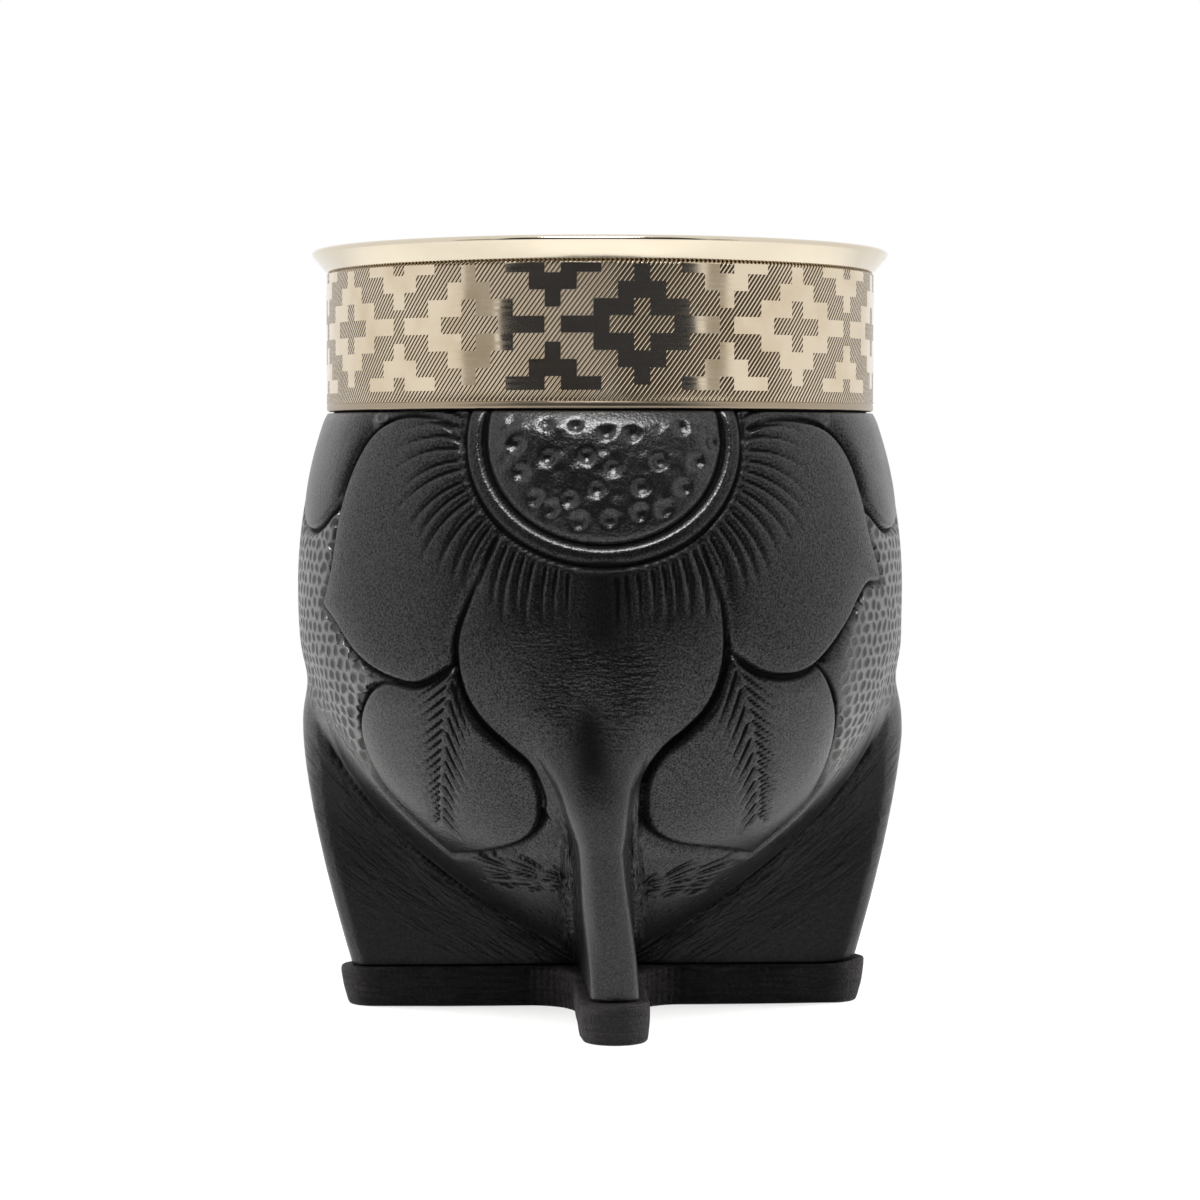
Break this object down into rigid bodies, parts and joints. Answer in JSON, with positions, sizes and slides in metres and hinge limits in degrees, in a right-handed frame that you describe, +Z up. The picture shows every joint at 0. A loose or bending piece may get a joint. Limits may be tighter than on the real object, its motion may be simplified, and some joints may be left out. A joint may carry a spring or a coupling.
{
  "type": "mate gourd",
  "caption": "Calabash tea gourd in tooled black leather pinched into standing legs on a cross-shaped sole, with an engraved nickel-silver ferrule round the mouth, for drinking yerba mate.",
  "frame": {"origin": "on the floor, under the sole on the bowl's axis", "axes": "+Z up through the mouth; -Y towards the front leg; +X to the viewer's right"},
  "size_m": [0.0852, 0.086, 0.1063],
  "materials": {
    "gourd_shell": "dry cured calabash, fibrous and matt inside",
    "tooled_leather": "black dyed vegetable-tanned leather, wet-moulded, tooled and waxed to a soft sheen",
    "waxed_thread": "black waxed linen thread",
    "sole_leather": "thick black sole leather with burnished cut edges",
    "engraved_alpaca": "polished nickel silver with a hatched, engraved stepped-cross pattern",
    "polished_alpaca": "plain polished nickel silver",
    "setting_compound": "hard setting resin"
  },
  "bodies": {
    "root": {"gourd_bowl": "gourd_shell", "leather_cover": "tooled_leather", "back_seam_thread": "waxed_thread", "leather_sole": "sole_leather", "ferrule_band": "engraved_alpaca", "ferrule_lip": "polished_alpaca", "ferrule_sleeve": "polished_alpaca", "ferrule_bedding": "setting_compound"}
  },
  "joints": []
}
